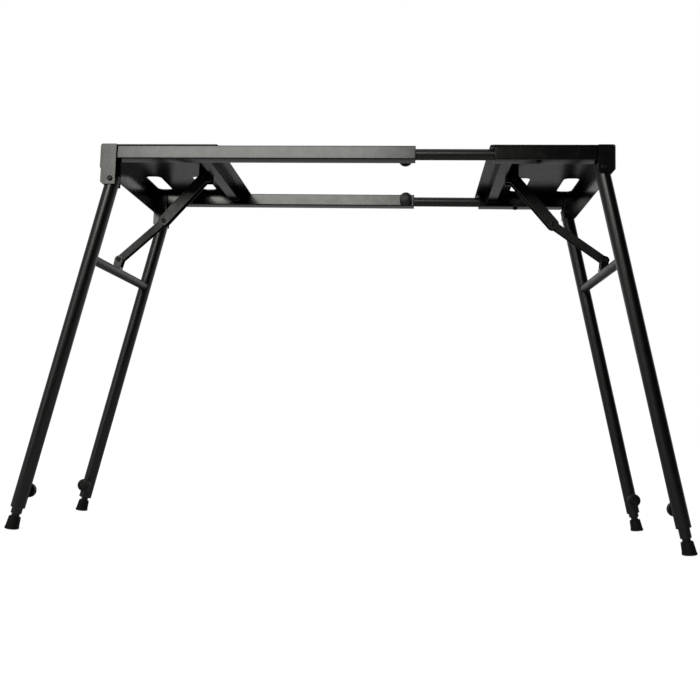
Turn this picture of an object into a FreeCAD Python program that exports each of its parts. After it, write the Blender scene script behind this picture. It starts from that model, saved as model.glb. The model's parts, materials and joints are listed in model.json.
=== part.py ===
import FreeCAD, Part
import math
import os
from FreeCAD import Vector

# Folding keyboard stand. Millimetres, X to the right, Y away from the viewer, Z up, floor at zero.
# Both end units are drawn in a side frame, where X points outwards, and the left one is mirrored.

# Overall sizes
HALF_WIDTH = 465.0
DECK_TOP = 708.0
RAIL_SPACING = 305.0

# Sheet parts: deck, apron, brackets
SHEET = 2.0
DECK_LENGTH = 218.0
APRON_DROP = 45.0
BEND_RADIUS = 4.0
SLOT_WIDTH = 31.0
SLOT_LENGTH = 93.0
SLOT_CORNER = 10.0
SLOT_TO_BACK_EDGE = 52.2
SLOT_INSETS = (35.5, 133.5)
DECK_CORNER = 5.0

# Rails and the round tubes that run in them
RAIL = 25.0
RAIL_WALL = 1.5
RAIL_CORNER = 2.0
RAIL_TO_BRACKET = 2.0
RAIL_GAP = 144.0
RIGHT_RAIL_INSET = 10.0
BUSH_WALL = 1.0
BUSH_LENGTH = 30.0
BUSH_FLANGE = 1.5
SLIDE_WALL = 1.5
SLIDE_TUBE_INSETS = {"left": 155.5, "right": 10.5}
TUBE_SCREW_INSET = 77.0
SCREW_SHANK = 5.0
SCREW_HEAD = 11.0
SCREW_HEAD_HEIGHT = 3.3

# Leg brackets
BRACKET_WIDTH = 27.5
BRACKET_DROPS = {"left": 74.0, "right": 49.0}
BRACKET_CHAMFER = 4.0
LEG_TO_CHEEK = 0.5
LEG_TO_WEB = 3.5
PIVOT_RISE = 10.5
PIVOT_BOLT = 6.0
PIVOT_HEAD = 10.0
PIVOT_HEAD_HEIGHT = 3.0
PIVOT_NUT_HEIGHT = 5.0
PIVOT_NUT_FLATS = 10.0
NUT_SIDES = 6

# Legs
LEG_TUBE = 25.4
LEG_WALL = 1.5
LEG_TOP = 9.0
LEG_LEAN_DEGREES = {"left": 13.2, "right": 12.2}
LEG_BUSH_WALL = 1.7
LEG_BUSH_LENGTH = 18.0
INNER_WALL = 1.5
INNER_LENGTH = 380.0
INNER_TUBES_SHOW = {
    ("left", "front"): 11.0,
    ("left", "back"): 1.0,
    ("right", "front"): 17.0,
    ("right", "back"): 8.0,
}

# Feet
STUD = 14.0
STUD_PLUG_LENGTH = 15.0
STUD_SOCKET = 10.0
NECK_HEIGHT = 5.5
FOOT_HEIGHT = 23.5
FOOT_TOP = 21.5
FOOT_BOTTOM = 25.5
FOOT_EDGE = 1.5

# Clamp knobs
KNOB = 26.0
KNOB_HEIGHT = 11.0
KNOB_EDGE = 3.0
KNOB_HUB = 15.0
KNOB_HUB_HEIGHT = 3.0
KNOB_SCREW = 6.0
KNOB_TIP_GAP = 0.4
KNOB_SEAT_GAP = 0.6
BOSS = 13.0
BOSS_HEIGHT = 4.0
LEG_KNOB_UP = 28.5
RAIL_KNOB_INSET = 16.5

# Cross-bars and folding braces
BAR = 18.0
BAR_WALL = 1.5
BRACE_Y = -20.0
BRACE_TOP_FROM_CHANNEL = {"left": 17.3, "right": 16.0}
BRACE_TOP_DROP = {"left": 19.1, "right": 18.0}
ELBOW_SHARE = {"left": 0.493, "right": 0.490}
BRACE_SAG = {"left": 6.4, "right": 14.7}
BRACE_FOOT_ALONG = {"left": 125.8, "right": 141.7}
BRACE_FOOT_OUT = {"left": 0.0, "right": 6.4}
BAR_BELOW_FOOT = 24.5
LOWER_LINK_HEIGHT = 14.0
LOWER_LINK_WIDTH = 12.0
UPPER_LINK_HEIGHT = 20.5
WEB_ABOVE_PIVOT = 11.0
LINK_SHEET = 1.5
LINK_GAP = 0.5
EAR_GAP = 0.4
RIVET = 5.0
RIVET_HEAD = 9.4
RIVET_HEAD_HEIGHT = 2.0
EAR_WIDTH = 16.0
EAR_BELOW_PIVOT = 7.0
CLEVIS_WIDTH = 14.0

# Channel under each deck
CHANNEL_WIDTH = 20.0
CHANNEL_HEIGHT = 15.0
CHANNEL_INSET = 25.0

# Running fits, how far cuts pass their piece, and how near two places are to count as one
RUNNING_GAP = 0.05
OVERRUN = 40.0
MATCH = 0.01
PARALLEL_SHARE = 0.01

# Sizes and places that follow from those above
SLIDE_TUBE = RAIL - RAIL_WALL * 2 - BUSH_WALL * 2
INNER_TUBE = LEG_TUBE - LEG_WALL * 2 - LEG_BUSH_WALL * 2
INNER_END_HEIGHT = FOOT_HEIGHT + NECK_HEIGHT
SIDES = ("left", "right")
ENDS = ("front", "back")
DECK_UNDER = DECK_TOP - SHEET
RAIL_UNDER = DECK_UNDER - RAIL
RAIL_MIDDLE = DECK_UNDER - RAIL / 2
BRACKET_OUTER = HALF_WIDTH - SHEET
BRACKET_INNER = BRACKET_OUTER - BRACKET_WIDTH
CHEEK_INSIDE = LEG_TUBE / 2 + LEG_TO_CHEEK
CHEEK_OUTSIDE = CHEEK_INSIDE + SHEET
HALF_DEPTH = RAIL_SPACING / 2 + CHEEK_OUTSIDE
DECK_HALF_DEPTH = RAIL_SPACING / 2 + RAIL / 2
DECK_INNER = HALF_WIDTH - DECK_LENGTH
CHANNEL_INNER = DECK_INNER + CHANNEL_INSET
CHANNEL_OUTER = CHANNEL_INNER + CHANNEL_WIDTH
RIGHT_RAIL_START = DECK_INNER + RIGHT_RAIL_INSET
LEFT_RAIL_END = RIGHT_RAIL_START - RAIL_GAP
RAIL_KNOB_X = LEFT_RAIL_END - RAIL_KNOB_INSET
TUBE_SCREW_X = RIGHT_RAIL_START + TUBE_SCREW_INSET
PIVOT_X = BRACKET_OUTER - SHEET - LEG_TO_WEB - LEG_TUBE / 2
UPPER_LINK_HALF_WIDTH = LOWER_LINK_WIDTH / 2 + LINK_GAP + LINK_SHEET
ALONG_X = Vector(1, 0, 0)
ALONG_Y = Vector(0, 1, 0)
ALONG_Z = Vector(0, 0, 1)


def box(x_range, y_range, z_range):
    """A box between two values on each axis."""
    size = [high - low for low, high in (x_range, y_range, z_range)]
    return Part.makeBox(*size, Vector(x_range[0], y_range[0], z_range[0]))


def rod(start, direction, diameter, length):
    """A round bar."""
    return Part.makeCylinder(diameter / 2, length, start, direction)


def pipe(start, direction, diameter, wall, length):
    """A round tube."""
    bore = rod(start, direction, diameter - wall - wall, length)
    return rod(start, direction, diameter, length).cut(bore)


def hole_across(point, diameter):
    """What a hole along Y takes out, past both sides of the piece."""
    return rod(point - ALONG_Y * OVERRUN, ALONG_Y, diameter, OVERRUN * 2)


def same(length, other):
    """Whether two lengths match."""
    return abs(length - other) < MATCH


def fillet_along(shape, direction, radius):
    """Rounds the straight edges that run one way."""
    straight = [edge for edge in shape.Edges if isinstance(edge.Curve, Part.Line)]
    along = [edge for edge in straight if edge.Curve.Direction.cross(direction).Length < PARALLEL_SHARE]
    return shape.makeFillet(radius, along)


def round_rim(shape, centre, radius):
    """Rounds the circular edge about one point."""
    rim = [edge for edge in shape.Edges if edge.isClosed() and (edge.CenterOfMass - centre).Length < MATCH]
    return shape.makeFillet(radius, rim)


def dome_head(centre, direction, diameter, height):
    """A round head whose outer rim is rounded."""
    return round_rim(rod(centre, direction, diameter, height), centre + direction * height, height / 2)


def hexagon(centre, direction, flats, height):
    """A plain hexagon nut body on a Y axis."""
    corner = flats / 2 / math.cos(math.pi / NUT_SIDES)
    points = []
    for step in range(NUT_SIDES + 1):
        angle = math.tau * step / NUT_SIDES
        points.append(centre + Vector(corner * math.cos(angle), 0, corner * math.sin(angle)))
    return Part.Face(Part.makePolygon(points)).extrude(direction * height)


def settle(shape, side):
    """Takes a shape from the side frame to the object."""
    if side == "left":
        return shape.mirror(Vector(0, 0, 0), ALONG_X)
    return shape


def end_sign(end):
    """-1 at the front, 1 at the back."""
    return -1.0 if end == "front" else 1.0


def plane_y(end):
    """The Y of the rail and leg middle at the front or back."""
    return end_sign(end) * RAIL_SPACING / 2


def pivot_height(side):
    """The height of the leg bolt."""
    return DECK_UNDER - BRACKET_DROPS[side] + PIVOT_RISE


def leg_down(side):
    """The leg's direction towards the floor, in the side frame."""
    lean = math.radians(LEG_LEAN_DEGREES[side])
    return Vector(math.sin(lean), 0, -math.cos(lean))


def leg_out(side):
    """Square to the leg, away from the middle of the stand."""
    lean = math.radians(LEG_LEAN_DEGREES[side])
    return Vector(math.cos(lean), 0, math.sin(lean))


def leg_point(side, along, y):
    """A point on the leg's middle line, a distance below the bolt."""
    return Vector(PIVOT_X, y, pivot_height(side)) + leg_down(side) * along


def along_at_height(side, height):
    """How far down the leg a height above the floor is."""
    return (pivot_height(side) - height) / math.cos(math.radians(LEG_LEAN_DEGREES[side]))


def outer_tube_end(side, end):
    """How far down the leg its outer tube ends."""
    return along_at_height(side, INNER_END_HEIGHT + INNER_TUBES_SHOW[side, end])


def leg_knob_point(side, end):
    """Where the axis of a leg's clamp knob meets the leg's middle line."""
    return leg_point(side, outer_tube_end(side, end) - LEG_KNOB_UP, plane_y(end))


def rail_knob_point(end):
    """Where the axis of a rail's clamp knob meets the rail's middle line."""
    return Vector(RAIL_KNOB_X, plane_y(end), RAIL_MIDDLE)


def inwards(end):
    """From the front or back towards the middle."""
    return ALONG_Y * -end_sign(end)


def brace_points(side):
    """The three pivots of the folding brace: on the deck, at the elbow, on the cross-bar."""
    top = Vector(CHANNEL_OUTER + BRACE_TOP_FROM_CHANNEL[side], BRACE_Y, DECK_UNDER - BRACE_TOP_DROP[side])
    foot = leg_point(side, BRACE_FOOT_ALONG[side], BRACE_Y) + leg_out(side) * BRACE_FOOT_OUT[side]
    span = foot - top
    below = Vector(span.z, 0, -span.x).normalize()
    return top, top + span * ELBOW_SHARE[side] + below * BRACE_SAG[side], foot


def cable_slot(inset):
    """What a cable slot takes out of the deck."""
    middle = HALF_WIDTH - inset
    back = HALF_DEPTH - SLOT_TO_BACK_EDGE
    across = (middle - SLOT_WIDTH / 2, middle + SLOT_WIDTH / 2)
    slot = box(across, (back - SLOT_LENGTH, back), (DECK_UNDER - SHEET, DECK_TOP + SHEET))
    return fillet_along(slot, ALONG_Z, SLOT_CORNER)


def deck():
    """The bent sheet: top flush with the rails, wider apron at the outer end, cable slots near the back."""
    depth = (-HALF_DEPTH, HALF_DEPTH)
    top = box((DECK_INNER, HALF_WIDTH), depth, (DECK_UNDER, DECK_TOP))
    apron = box((BRACKET_OUTER, HALF_WIDTH), depth, (DECK_TOP - APRON_DROP, DECK_TOP))
    sheet = top.fuse(apron).removeSplitter()
    bend = [
        edge
        for edge in sheet.Edges
        if same(edge.CenterOfMass.x, HALF_WIDTH) and same(edge.CenterOfMass.z, DECK_TOP)
    ]
    sheet = sheet.makeFillet(BEND_RADIUS, bend)
    for low, high in ((-HALF_DEPTH, -DECK_HALF_DEPTH), (DECK_HALF_DEPTH, HALF_DEPTH)):
        sheet = sheet.cut(box((DECK_INNER, BRACKET_OUTER), (low, high), (DECK_UNDER, DECK_TOP)))
    inner_corners = [
        edge
        for edge in sheet.Edges
        if same(edge.CenterOfMass.x, DECK_INNER) and same(edge.Length, SHEET)
    ]
    sheet = sheet.makeFillet(DECK_CORNER, inner_corners)
    for inset in SLOT_INSETS:
        sheet = sheet.cut(cable_slot(inset))
    return sheet


def square_bar(x_range, end, half):
    """A bar along X on a rail's middle line, from its half width."""
    y = plane_y(end)
    return box(x_range, (y - half, y + half), (RAIL_MIDDLE - half, RAIL_MIDDLE + half))


def rail_outline(x_range, end):
    """A solid bar with a rail's rounded corners."""
    return fillet_along(square_bar(x_range, end, RAIL / 2), ALONG_X, RAIL_CORNER)


def square_tube(x_range, end):
    """A rail."""
    return rail_outline(x_range, end).cut(square_bar(x_range, end, RAIL / 2 - RAIL_WALL))


def left_rail(end):
    """The long rail, with the threaded boss that takes the clamp knob."""
    rail = square_tube((RAIL_TO_BRACKET - BRACKET_INNER, LEFT_RAIL_END), end)
    inside_face = rail_knob_point(end) + inwards(end) * (RAIL / 2 - RAIL_WALL)
    boss = rod(inside_face, inwards(end), BOSS, RAIL_WALL + BOSS_HEIGHT)
    hole = rod(rail_knob_point(end), inwards(end), KNOB_SCREW + RUNNING_GAP * 2, OVERRUN)
    return rail.fuse(boss).removeSplitter().cut(hole)


def right_rail(end):
    """The short rail, drilled below for the screw that holds the round tube."""
    rail = square_tube((RIGHT_RAIL_START, BRACKET_INNER - RAIL_TO_BRACKET), end)
    return rail.cut(tube_screw_hole(end))


def tube_screw_hole(end):
    """The space of a tube screw's shank."""
    return rod(Vector(TUBE_SCREW_X, plane_y(end), RAIL_UNDER), ALONG_Z, SCREW_SHANK, RAIL / 2)


def slide_tube(end):
    """The round tube that joins the two units."""
    left_end = SLIDE_TUBE_INSETS["left"] - BRACKET_INNER
    right_end = BRACKET_INNER - SLIDE_TUBE_INSETS["right"]
    start = Vector(left_end, plane_y(end), RAIL_MIDDLE)
    tube = pipe(start, ALONG_X, SLIDE_TUBE, SLIDE_WALL, right_end - left_end)
    return tube.cut(tube_screw_hole(end))


def tube_screw(end):
    """A pan-head screw from below."""
    under = Vector(TUBE_SCREW_X, plane_y(end), RAIL_UNDER)
    shank = rod(under, ALONG_Z, SCREW_SHANK, (RAIL - SLIDE_TUBE) / 2 + SLIDE_WALL * 2)
    return dome_head(under, -ALONG_Z, SCREW_HEAD, SCREW_HEAD_HEIGHT).fuse(shank)


def rail_bush(x_range, flange_range, end, tube_gap):
    """A plastic guide in a rail's end, round the slide tube, with a flange outside the rail."""
    block = square_bar(x_range, end, RAIL / 2 - RAIL_WALL).fuse(rail_outline(flange_range, end))
    start = Vector(min(x_range + flange_range), plane_y(end), RAIL_MIDDLE)
    bore = rod(start, ALONG_X, SLIDE_TUBE + tube_gap * 2, BUSH_LENGTH + BUSH_FLANGE)
    return block.removeSplitter().cut(bore)


def left_rail_bush(end):
    """The guide that slides on the tube, with a way through for the knob's screw."""
    x_range = (LEFT_RAIL_END - BUSH_LENGTH, LEFT_RAIL_END)
    flange_range = (LEFT_RAIL_END, LEFT_RAIL_END + BUSH_FLANGE)
    screw_path = rod(rail_knob_point(end), inwards(end), KNOB_SCREW + SHEET, OVERRUN)
    return rail_bush(x_range, flange_range, end, RUNNING_GAP).cut(screw_path)


def right_rail_bush(end):
    """The guide that grips the tube."""
    x_range = (RIGHT_RAIL_START, RIGHT_RAIL_START + BUSH_LENGTH)
    flange_range = (RIGHT_RAIL_START - BUSH_FLANGE, RIGHT_RAIL_START)
    return rail_bush(x_range, flange_range, end, 0)


def cheek_top(end):
    """The outer cheek's top, beside the deck's edge."""
    faces = [plane_y(end) + end_sign(end) * reach for reach in (CHEEK_INSIDE, CHEEK_OUTSIDE)]
    return box((BRACKET_INNER, BRACKET_OUTER), sorted(faces), (DECK_UNDER, DECK_TOP))


def leg_bracket(side, end):
    """The U-shaped bracket that holds a leg: web outside, open inwards."""
    y = plane_y(end)
    bottom = DECK_UNDER - BRACKET_DROPS[side]
    heights = (bottom, DECK_UNDER)
    outer = box((BRACKET_INNER, BRACKET_OUTER), (y - CHEEK_OUTSIDE, y + CHEEK_OUTSIDE), heights)
    low_edge = [
        edge
        for edge in outer.Edges
        if same(edge.CenterOfMass.x, BRACKET_OUTER) and same(edge.CenterOfMass.z, bottom)
    ]
    outer = outer.makeChamfer(BRACKET_CHAMFER, low_edge)
    space = box((BRACKET_INNER, BRACKET_OUTER - SHEET), (y - CHEEK_INSIDE, y + CHEEK_INSIDE), heights)
    bracket = outer.cut(space).fuse(cheek_top(end)).removeSplitter()
    return bracket.cut(hole_across(leg_point(side, 0, y), PIVOT_BOLT))


def pivot_bolt(side, end):
    """The leg bolt: domed head outside, nut inside."""
    middle = leg_point(side, 0, plane_y(end))
    head_face = middle - inwards(end) * CHEEK_OUTSIDE
    nut_face = middle + inwards(end) * CHEEK_OUTSIDE
    shank = rod(head_face, inwards(end), PIVOT_BOLT, CHEEK_OUTSIDE * 2 + PIVOT_NUT_HEIGHT)
    head = dome_head(head_face, -inwards(end), PIVOT_HEAD, PIVOT_HEAD_HEIGHT)
    nut = hexagon(nut_face, inwards(end), PIVOT_NUT_FLATS, PIVOT_NUT_HEIGHT)
    return [head.fuse(shank).removeSplitter(), nut.cut(shank)]


def cross_channel():
    """The U-shaped channel under the deck, between the rails, near its inner end."""
    reach = RAIL_SPACING / 2 - RAIL / 2
    depth = (-reach, reach)
    bottom = DECK_UNDER - CHANNEL_HEIGHT
    channel = box((CHANNEL_INNER, CHANNEL_OUTER), depth, (bottom, DECK_UNDER))
    space = box((CHANNEL_INNER + SHEET, CHANNEL_OUTER - SHEET), depth, (bottom + SHEET, DECK_UNDER))
    return channel.cut(space)


def brace_bracket(side):
    """A plate under the deck with two ears, beside the cross channel."""
    top = brace_points(side)[0]
    inside = UPPER_LINK_HALF_WIDTH + EAR_GAP
    x_range = (CHANNEL_OUTER, top.x + EAR_WIDTH / 2)
    y_reach = inside + SHEET
    bracket = box(x_range, (top.y - y_reach, top.y + y_reach), (DECK_UNDER - SHEET, DECK_UNDER))
    for start in (top.y - y_reach, top.y + inside):
        ear = box(x_range, (start, start + SHEET), (top.z - EAR_BELOW_PIVOT, DECK_UNDER))
        bracket = bracket.fuse(fillet_along(ear, ALONG_Y, SHEET))
    return bracket.removeSplitter().cut(hole_across(top, RIVET))


def full_rivet(pivot, half_grip):
    """A rivet right through, with a round head at each end."""
    shank = rod(pivot - ALONG_Y * half_grip, ALONG_Y, RIVET, half_grip * 2)
    for way in (ALONG_Y, -ALONG_Y):
        shank = shank.fuse(dome_head(pivot + way * half_grip, way, RIVET_HEAD, RIVET_HEAD_HEIGHT))
    return shank.removeSplitter()


def link_body(length, height, above, width):
    """A channel link along X with round ends: web on top, open below, pivots at 0 and length."""
    radius = height / 2
    middle = above - radius
    outline = box((0, length), (-width / 2, width / 2), (middle - radius, middle + radius))
    for x in (0, length):
        outline = outline.fuse(rod(Vector(x, -width / 2, middle), ALONG_Y, height, width))
    inside = width / 2 - LINK_SHEET
    space = box((-height, length + height), (-inside, inside), (middle - height, above - LINK_SHEET))
    return outline.removeSplitter().cut(space)


def placed_link(link, start, finish):
    """Turns a link so that it runs from start to finish, with its web upwards and outwards."""
    run = finish - start
    turned = link.copy()
    turned.rotate(Vector(0, 0, 0), ALONG_Y, math.degrees(math.atan2(-run.z, run.x)))
    turned.translate(start)
    return turned


def upper_link(side):
    """The wide link, from the deck to the elbow."""
    top, elbow, _ = brace_points(side)
    length = (elbow - top).Length
    link = link_body(length, UPPER_LINK_HEIGHT, WEB_ABOVE_PIVOT, UPPER_LINK_HALF_WIDTH * 2)
    link = link.cut(hole_across(Vector(0, 0, 0), RIVET + RUNNING_GAP * 2))
    return placed_link(link.cut(hole_across(ALONG_X * length, RIVET)), top, elbow)


def lower_link(side):
    """The narrow link, from the elbow to the cross-bar."""
    _, elbow, brace_foot = brace_points(side)
    length = (brace_foot - elbow).Length
    link = link_body(length, LOWER_LINK_HEIGHT, LOWER_LINK_HEIGHT / 2, LOWER_LINK_WIDTH)
    for x in (0, length):
        link = link.cut(hole_across(ALONG_X * x, RIVET + RUNNING_GAP * 2))
    return placed_link(link, elbow, brace_foot)


def clevis_ear(out, seat):
    """The outline of an ear: round at the rivet, as wide as its plate at the seat."""
    radius = EAR_WIDTH / 2
    half = CLEVIS_WIDTH / 2
    corners = [
        Vector(-half, 0, seat),
        Vector(half, 0, seat),
        Vector(out + radius, 0, 0),
        Vector(out - radius, 0, 0),
        Vector(-half, 0, seat),
    ]
    round_end = Part.Face(Part.Wire(Part.makeCircle(radius, ALONG_X * out, ALONG_Y)))
    return Part.Face(Part.makePolygon(corners)).fuse(round_end).removeSplitter()


def clevis(side):
    """Two ears and their plate, saddled on top of the cross-bar."""
    out = BRACE_FOOT_OUT[side]
    outside = LOWER_LINK_WIDTH / 2 + EAR_GAP + SHEET
    half = CLEVIS_WIDTH / 2
    bar_start = Vector(0, -outside, -BAR_BELOW_FOOT)
    seat = math.sqrt((BAR / 2) ** 2 - half**2) - BAR_BELOW_FOOT
    plate_top = BAR / 2 + SHEET - BAR_BELOW_FOOT
    shape = box((-half, half), (-outside, outside), (seat, plate_top))
    for start in (-outside, outside - SHEET):
        ear = clevis_ear(out, seat).extrude(ALONG_Y * SHEET)
        ear.translate(ALONG_Y * start)
        shape = shape.fuse(ear)
    shape = shape.removeSplitter().cut(hole_across(ALONG_X * out, RIVET))
    shape = shape.cut(rod(bar_start, ALONG_Y, BAR, outside * 2))
    shape.rotate(Vector(0, 0, 0), ALONG_Y, -LEG_LEAN_DEGREES[side])
    shape.translate(leg_point(side, BRACE_FOOT_ALONG[side], BRACE_Y))
    return shape


def clevis_rivets(side):
    """A short rivet in each ear. Its middle is left out, because the brace is open at this pivot."""
    brace_foot = brace_points(side)[2]
    inside = LOWER_LINK_WIDTH / 2 + EAR_GAP
    stubs = []
    for way in (ALONG_Y, -ALONG_Y):
        stub = rod(brace_foot + way * inside, way, RIVET, SHEET)
        head = dome_head(brace_foot + way * (inside + SHEET), way, RIVET_HEAD, RIVET_HEAD_HEIGHT)
        stubs.append(stub.fuse(head).removeSplitter())
    return stubs


def leg_tube(side, end):
    """The outer leg tube, bored for its bolt, with the threaded boss of its clamp knob."""
    start = leg_point(side, -LEG_TOP, plane_y(end))
    length = outer_tube_end(side, end) + LEG_TOP
    knob_point = leg_knob_point(side, end)
    boss = rod(knob_point, inwards(end), BOSS, LEG_TUBE / 2 + BOSS_HEIGHT)
    tube = rod(start, leg_down(side), LEG_TUBE, length).fuse(boss).removeSplitter()
    tube = tube.cut(rod(start, leg_down(side), LEG_TUBE - LEG_WALL * 2, length))
    tube = tube.cut(hole_across(leg_point(side, 0, plane_y(end)), PIVOT_BOLT + RUNNING_GAP * 2))
    return tube.cut(rod(knob_point, inwards(end), KNOB_SCREW + RUNNING_GAP * 2, OVERRUN))


def leg_bush(side, end):
    """A plastic guide inside the outer tube's end, round the inner tube."""
    start = leg_point(side, outer_tube_end(side, end) - LEG_BUSH_LENGTH, plane_y(end))
    wall = LEG_BUSH_WALL - RUNNING_GAP
    return pipe(start, leg_down(side), LEG_TUBE - LEG_WALL * 2, wall, LEG_BUSH_LENGTH)


def cross_bar(side):
    """The round tube between the two leg tubes, cut round them."""
    along = BRACE_FOOT_ALONG[side] + BAR_BELOW_FOOT
    bar = pipe(leg_point(side, along, -RAIL_SPACING / 2), ALONG_Y, BAR, BAR_WALL, RAIL_SPACING)
    for end in ENDS:
        start = leg_point(side, along - BAR, plane_y(end))
        bar = bar.cut(rod(start, leg_down(side), LEG_TUBE, BAR * 2))
    return bar


def inner_tube(side, end):
    """The leg tube that slides out."""
    finish = along_at_height(side, INNER_END_HEIGHT)
    start = leg_point(side, finish - INNER_LENGTH, plane_y(end))
    return pipe(start, leg_down(side), INNER_TUBE, INNER_WALL, INNER_LENGTH)


def stud(side, end):
    """The round neck between tube and foot, with its plug in the tube."""
    y = plane_y(end)
    tube_end = along_at_height(side, INNER_END_HEIGHT)
    foot_top = along_at_height(side, FOOT_HEIGHT)
    plug_start = leg_point(side, tube_end - STUD_PLUG_LENGTH, y)
    plug = rod(plug_start, leg_down(side), INNER_TUBE - INNER_WALL * 2, STUD_PLUG_LENGTH)
    neck = rod(leg_point(side, tube_end, y), leg_down(side), STUD, foot_top - tube_end + STUD_SOCKET)
    return plug.fuse(neck).removeSplitter()


def foot(side, end):
    """The flared rubber foot, cut flat on the floor."""
    start_along = along_at_height(side, FOOT_HEIGHT)
    start = leg_point(side, start_along, plane_y(end))
    height = along_at_height(side, 0) - start_along
    flare = (FOOT_BOTTOM - FOOT_TOP) / height / 2
    extra = FOOT_BOTTOM / 2
    wide_end = FOOT_BOTTOM / 2 + flare * extra
    cone = Part.makeCone(FOOT_TOP / 2, wide_end, height + extra, start, leg_down(side))
    cone = round_rim(cone, start, FOOT_EDGE)
    below_floor = box((0, HALF_WIDTH * 2), (-RAIL_SPACING, RAIL_SPACING), (-FOOT_BOTTOM, 0))
    return cone.cut(below_floor).cut(rod(start, leg_down(side), STUD, STUD_SOCKET))


def knob(seat, way, tip_reach, hub_start):
    """A round clamp knob on a Y axis: hub, domed disc and the screw that presses on the tube."""
    hub_face = seat + way * hub_start
    disc_face = hub_face + way * KNOB_HUB_HEIGHT
    hub = rod(hub_face, way, KNOB_HUB, KNOB_HUB_HEIGHT)
    disc = rod(disc_face, way, KNOB, KNOB_HEIGHT)
    disc = round_rim(disc, disc_face + way * KNOB_HEIGHT, KNOB_EDGE)
    disc = round_rim(disc, disc_face, KNOB_EDGE / 2)
    screw = rod(seat + way * tip_reach, way, KNOB_SCREW, hub_start - tip_reach)
    return disc.fuse([hub, screw]).removeSplitter()


def leg_knob(side, end):
    """The clamp knob of a leg, on the side that faces the other leg."""
    hub_start = LEG_TUBE / 2 + BOSS_HEIGHT + KNOB_SEAT_GAP
    return knob(leg_knob_point(side, end), inwards(end), INNER_TUBE / 2 + KNOB_TIP_GAP, hub_start)


def rail_knob(end):
    """The clamp knob of a left rail."""
    hub_start = RAIL / 2 + BOSS_HEIGHT + KNOB_SEAT_GAP
    return knob(rail_knob_point(end), inwards(end), SLIDE_TUBE / 2 + KNOB_TIP_GAP, hub_start)


def end_pieces(side, end):
    """The pieces of one leg, with its bracket, that have a node each."""
    return {
        "bracket": leg_bracket(side, end),
        "leg_tube": leg_tube(side, end),
        "inner_tube": inner_tube(side, end),
        "stud": stud(side, end),
        "foot": foot(side, end),
        "leg_knob": leg_knob(side, end),
    }


def side_pieces(side):
    """One end unit with its brace and legs, as lists of solids in the side frame."""
    top, elbow, _ = brace_points(side)
    pieces = {
        "deck": [deck()],
        "cross_channel": [cross_channel()],
        "brace_bracket": [brace_bracket(side)],
        "brace_rivet": [full_rivet(top, UPPER_LINK_HALF_WIDTH + EAR_GAP + SHEET)],
        "upper_link": [upper_link(side)],
        "elbow_rivet": [full_rivet(elbow, UPPER_LINK_HALF_WIDTH)],
        "lower_link": [lower_link(side)],
        "clevis": [clevis(side)],
        "clevis_rivets": clevis_rivets(side),
        "cross_bar": [cross_bar(side)],
        "pivot_bolts": [piece for end in ENDS for piece in pivot_bolt(side, end)],
        "leg_bushes": [leg_bush(side, end) for end in ENDS],
    }
    for end in ENDS:
        for name, shape in end_pieces(side, end).items():
            pieces[f"{end}_{name}"] = [shape]
    return pieces


def joining_pieces():
    """The rails, the tubes that slide in them, and what holds them."""
    pieces = {
        "left_rail_bushes": [left_rail_bush(end) for end in ENDS],
        "right_rail_bushes": [right_rail_bush(end) for end in ENDS],
        "tube_screws": [tube_screw(end) for end in ENDS],
    }
    for end in ENDS:
        pieces[f"left_{end}_rail"] = [left_rail(end)]
        pieces[f"right_{end}_rail"] = [right_rail(end)]
        pieces[f"{end}_slide_tube"] = [slide_tube(end)]
        pieces[f"{end}_rail_knob"] = [rail_knob(end)]
    return pieces


def middle_shift(parts):
    """The move along X that centres the whole stand on its origin."""
    boxes = [shape.BoundBox for shapes in parts.values() for shape in shapes]
    return -(min(b.XMin for b in boxes) + max(b.XMax for b in boxes)) / 2


def write(name, shapes, shift):
    """Moves a node's solids into place and writes their file."""
    group = shapes[0] if len(shapes) == 1 else Part.makeCompound(shapes)
    group.translate(ALONG_X * shift)
    sound = all(shape.isValid() and len(shape.Solids) == 1 for shape in shapes)
    print(name, "solids", len(group.Solids), "volume", round(group.Volume), "ok" if sound else "BAD")
    group.exportStep(f"parts/{name}.step")


def print_places(side, shift):
    """Prints one side's pivots, directions and knob places in the finished frame."""
    sign = -1 if side == "left" else 1
    for label, point in zip(("top", "elbow", "foot"), brace_points(side)):
        print(side, "brace", label, sign * point.x + shift, point.y, point.z)
    print(side, "pivot", sign * PIVOT_X + shift, pivot_height(side))
    print(side, "leg direction", sign * leg_down(side).x, leg_down(side).z)
    for end in ENDS:
        point = leg_knob_point(side, end)
        sole = leg_point(side, along_at_height(side, 0), plane_y(end))
        print(side, end, "knob", sign * point.x + shift, point.z, "sole", sign * sole.x + shift)


parts = joining_pieces()
for side in SIDES:
    for name, shapes in side_pieces(side).items():
        parts[f"{side}_{name}"] = [settle(shape, side) for shape in shapes]

shift = middle_shift(parts)
os.makedirs("parts", exist_ok=True)
for name, shapes in sorted(parts.items()):
    write(name, shapes, shift)

print("parts", len(parts), "shift", shift)
for side in SIDES:
    print_places(side, shift)
print("rail knob", RAIL_KNOB_X + shift, RAIL_MIDDLE)
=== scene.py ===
import json
import logging
import math
from dataclasses import dataclass, replace
from enum import Enum
from functools import cache
from typing import Callable, Sequence

import bmesh
import bpy
from mathutils import Matrix, Vector

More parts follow.
